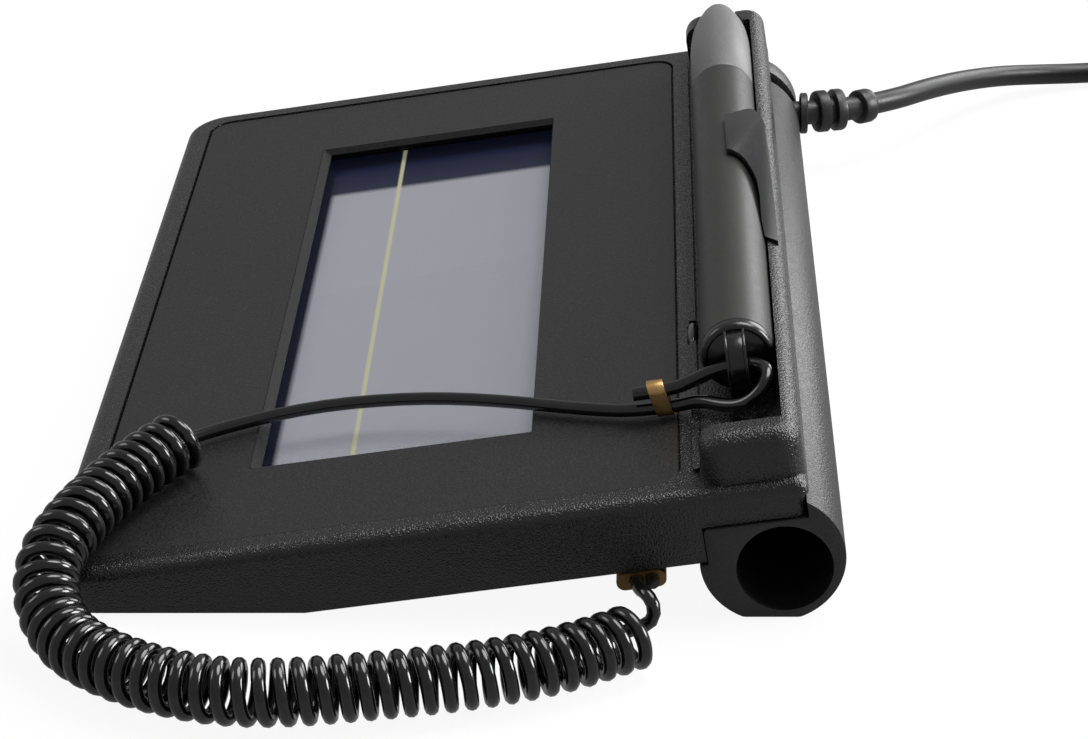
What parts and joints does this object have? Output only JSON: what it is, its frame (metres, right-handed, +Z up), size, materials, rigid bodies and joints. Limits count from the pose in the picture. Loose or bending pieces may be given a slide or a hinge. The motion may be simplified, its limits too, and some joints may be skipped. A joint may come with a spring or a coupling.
{
  "type": "signature pad",
  "caption": "Counter-top electronic signature pad with a tilted display window, a pen tray, a stylus on a curly tether and a rear tube with its cable",
  "frame": {"origin": "middle of the pad without its cords, on the table", "axes": "+X along the pad towards the end where the pen's tail is, +Y towards the back edge with the pen tray, +Z up"},
  "size_m": [0.2317, 0.2424, 0.0336],
  "materials": {
    "case": "fine-grained moulded plastic",
    "plate": "satin face plate",
    "gasket": "soft foam strip",
    "touch_glass": "clear touch layer",
    "display": "display panel behind clear glass",
    "frame_metal": "pressed metal frame",
    "white_plastic": "plain white plastic",
    "flex": "amber film",
    "board": "green circuit board",
    "chip": "black component bodies",
    "connector": "pale connector body",
    "screw_steel": "plain steel",
    "foot_rubber": "soft black rubber",
    "tube": "fine-grained moulded plastic",
    "gloss_grey": "polished dark grey",
    "clip": "semi-gloss dark grey",
    "ferrule": "crimped brass",
    "cable": "black flexible jacket",
    "tie": "black tie",
    "plug_metal": "bright plated shell",
    "tether": "glossy black jacket",
    "pen_dark": "satin dark grey",
    "pen_light": "satin mid grey",
    "nib": "hard black plastic",
    "pen_gloss": "glossy black",
    "pen_ring": "glossy black"
  },
  "bodies": {
    "pad": {"base": "case", "top_cover": "case", "overlay_plate": "plate", "window_gasket": "gasket", "touch_panel": "touch_glass", "lcd_glass": "display", "lcd_frame": "frame_metal", "backlight": "white_plastic", "lcd_flex": "flex", "touch_flex": "flex", "main_board": "board", "board_chips": "chip", "cable_header": "connector", "inner_wires": "cable", "board_screws": "screw_steel", "case_screws": "screw_steel", "rubber_feet": "foot_rubber", "rear_tube": "tube", "tube_screws": "screw_steel", "lip_button": "gloss_grey", "pen_clip": "clip", "anchor_screw": "screw_steel", "pad_ferrule": "ferrule", "strain_relief": "cable", "usb_cable": "cable", "usb_cable_coil": "cable", "usb_tail": "cable", "cable_tie": "tie", "usb_plug_grip": "cable", "usb_plug_shell": "plug_metal", "usb_plug_tongue": "white_plastic", "tether_drop": "tether", "tether_coil": "tether", "tether_lead": "tether"},
    "pen": {"pen_barrel": "pen_dark", "pen_nose": "pen_light", "pen_nib": "nib", "pen_tail_cap": "pen_gloss", "pen_ring": "pen_ring", "pen_ferrule": "ferrule", "tether_loop": "tether"}
  },
  "joints": [
    {"name": "pen_lift", "type": "slide", "parent": "pad", "child": "pen", "axis": [0, -0.1437, 0.9896], "range_m": [0, 0.045], "deforming": ["pen_clip", "tether_coil", "tether_lead"]}
  ]
}
